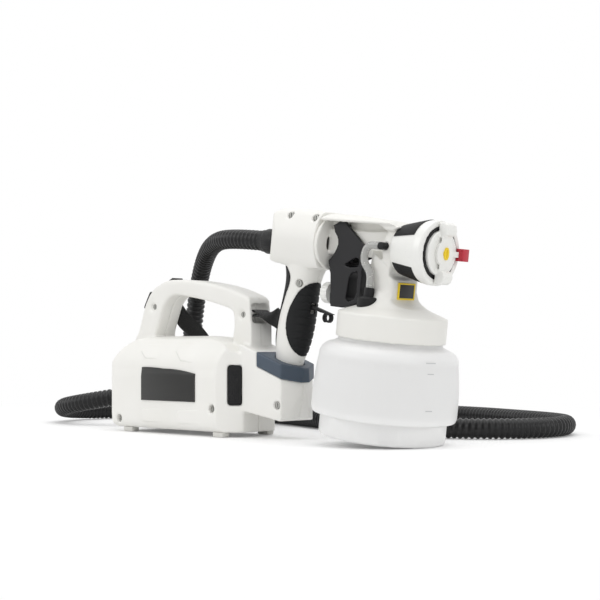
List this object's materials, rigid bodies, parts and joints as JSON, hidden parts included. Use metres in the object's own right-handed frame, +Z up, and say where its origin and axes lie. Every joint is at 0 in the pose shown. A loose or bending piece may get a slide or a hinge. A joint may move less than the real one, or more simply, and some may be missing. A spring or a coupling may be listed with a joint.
{
  "type": "turbine paint sprayer with cup gun",
  "caption": "Paint sprayer: a turbine base with carry handle and holster, an air hose and a docked spray gun with a screw-on paint cup.",
  "frame": {"origin": "centre of the docked set's bounding box on the floor, without the free hose", "axes": "+X is the spray direction, +Y is left of it, +Z is up"},
  "size_m": [0.6258, 0.407, 0.222],
  "materials": {
    "white_shell": "satin moulded, fine grain",
    "black_plastic": "fine matt grain",
    "black_rubber": "soft matt",
    "white_trim": "smooth",
    "collar_grey": "satin",
    "head_white": "satin",
    "cup_milky": "milky, half clear",
    "red_plastic": "glossy",
    "yellow_plastic": "glossy",
    "dark_plate": "bare printed film",
    "steel": "bare",
    "iron_core": "stacked laminations",
    "cast_bracket": "as cast",
    "carbon": "pressed carbon",
    "fan_plastic": "glass filled",
    "foam": "open cell",
    "webbing": "woven",
    "clear_tube": "translucent"
  },
  "bodies": {
    "base": {"base_shell_left": "white_shell", "base_shell_right": "white_shell", "base_screws": "steel", "filter_foam": "foam", "holster_collar": "collar_grey", "switch_bezel": "black_plastic", "motor_stator": "iron_core", "motor_bracket_rear": "cast_bracket", "motor_bracket_front": "cast_bracket", "shaft_bearings": "steel", "motor_brushes": "carbon", "motor_cradle": "black_rubber", "fan_drum": "fan_plastic", "base_feet": "black_rubber", "name_plate": "dark_plate", "hose_port": "black_plastic", "cord_gland": "black_plastic", "strap": "webbing", "air_hose": "black_rubber"},
    "rocker": {"rocker_key": "black_plastic"},
    "vent_cover": {"filter_cover": "black_plastic"},
    "rotor": {"rotor_shaft": "steel", "rotor_armature": "iron_core", "fan_wheel": "fan_plastic"},
    "gun": {"handle_shell_left": "white_shell", "handle_shell_right": "white_shell", "handle_screws": "steel", "grip_pad": "black_rubber", "back_strip": "black_rubber", "hose_cuff": "black_plastic"},
    "swing_hook": {"hook": "black_plastic"},
    "head": {"spray_head": "head_white", "plate_frame": "yellow_plastic", "info_plate": "dark_plate", "vent_tube": "clear_tube", "vent_elbow": "black_plastic", "valve_cap": "black_plastic", "suction_tube": "clear_tube", "trigger_pin": "steel", "needle_spring": "steel", "fluid_nozzle": "steel"},
    "trigger_lever": {"trigger": "black_plastic"},
    "knob": {"volume_knob": "white_trim"},
    "needle_rod": {"needle": "steel"},
    "ring_carrier": {"cap_ring": "black_plastic"},
    "nut": {"union_nut": "white_shell"},
    "cap": {"air_cap": "white_trim", "cap_insert": "yellow_plastic"},
    "spray_lever": {"jet_lever": "red_plastic"},
    "seal_carrier": {"cup_seal": "black_rubber"},
    "paint_cup": {"cup": "cup_milky"}
  },
  "joints": [
    {"name": "switch_tip", "type": "hinge", "parent": "base", "child": "rocker", "pos_m": [-0.15258, 0, 0.15266], "axis": [0, -1, 0], "range_deg": [0, 12]},
    {"name": "vent_cover_pull", "type": "slide", "parent": "base", "child": "vent_cover", "axis": [0.6508, -0.7593, 0], "range_m": [0, 0.02]},
    {"name": "rotor_spin", "type": "hinge", "parent": "base", "child": "rotor", "pos_m": [-0.1313, 0, 0.049], "axis": [1, 0, 0], "continuous": true},
    {"name": "gun_lift", "type": "slide", "parent": "base", "child": "gun", "axis": [0.2385, 0, 0.9711], "range_m": [0, 0.07]},
    {"name": "hook_swing", "type": "hinge", "parent": "gun", "child": "swing_hook", "pos_m": [0.04791, 0, 0.12614], "axis": [0, 1, 0], "range_deg": [0, 40]},
    {"name": "head_twist", "type": "hinge", "parent": "gun", "child": "head", "pos_m": [0.07413, 0, 0.18539], "axis": [-0.9925, 0, 0.1219], "range_deg": [0, 40]},
    {"name": "trigger_pull", "type": "hinge", "parent": "head", "child": "trigger_lever", "pos_m": [0.09873, 0, 0.1995], "axis": [0, 1, 0], "range_deg": [0, 7], "stiffness_Nm_per_rad": 1.2, "springref_deg": -8.59},
    {"name": "knob_turn", "type": "hinge", "parent": "trigger_lever", "child": "knob", "pos_m": [0.08013, 0, 0.13831], "axis": [0.9925, 0, -0.1219], "range_deg": [-150, 150]},
    {"name": "needle_draw", "type": "slide", "parent": "head", "child": "needle_rod", "axis": [-0.9925, 0, 0.1219], "range_m": [0, 0.00207]},
    {"name": "nut_turn", "type": "hinge", "parent": "ring_carrier", "child": "nut", "pos_m": [0.18102, 0, 0.17226], "axis": [0.9925, 0, -0.1219], "range_deg": [0, 720]},
    {"name": "ring_advance", "type": "slide", "parent": "head", "child": "ring_carrier", "axis": [0.9925, 0, -0.1219], "range_m": [0, 0.00399]},
    {"name": "cap_turn", "type": "hinge", "parent": "ring_carrier", "child": "cap", "pos_m": [0.19889, 0, 0.17007], "axis": [0.9925, 0, -0.1219], "range_deg": [0, 90]},
    {"name": "lever_turn", "type": "hinge", "parent": "cap", "child": "spray_lever", "pos_m": [0.20484, 0, 0.16934], "axis": [0.9925, 0, -0.1219], "range_deg": [-15, 15]},
    {"name": "cup_turn", "type": "hinge", "parent": "seal_carrier", "child": "paint_cup", "pos_m": [0.14181, 0, 0.06625], "axis": [0.1219, 0, 0.9925], "range_deg": [0, 270]},
    {"name": "seal_drop", "type": "slide", "parent": "head", "child": "seal_carrier", "axis": [-0.1219, 0, -0.9925], "range_m": [0, 0.00299]}
  ],
  "couplings": [
    {"joint": "trigger_pull", "follows": "needle_draw", "rad_per_m": 58.824},
    {"joint": "nut_turn", "follows": "ring_advance", "rad_per_m": 3141.6},
    {"joint": "cup_turn", "follows": "seal_drop", "rad_per_m": 1570.8}
  ]
}
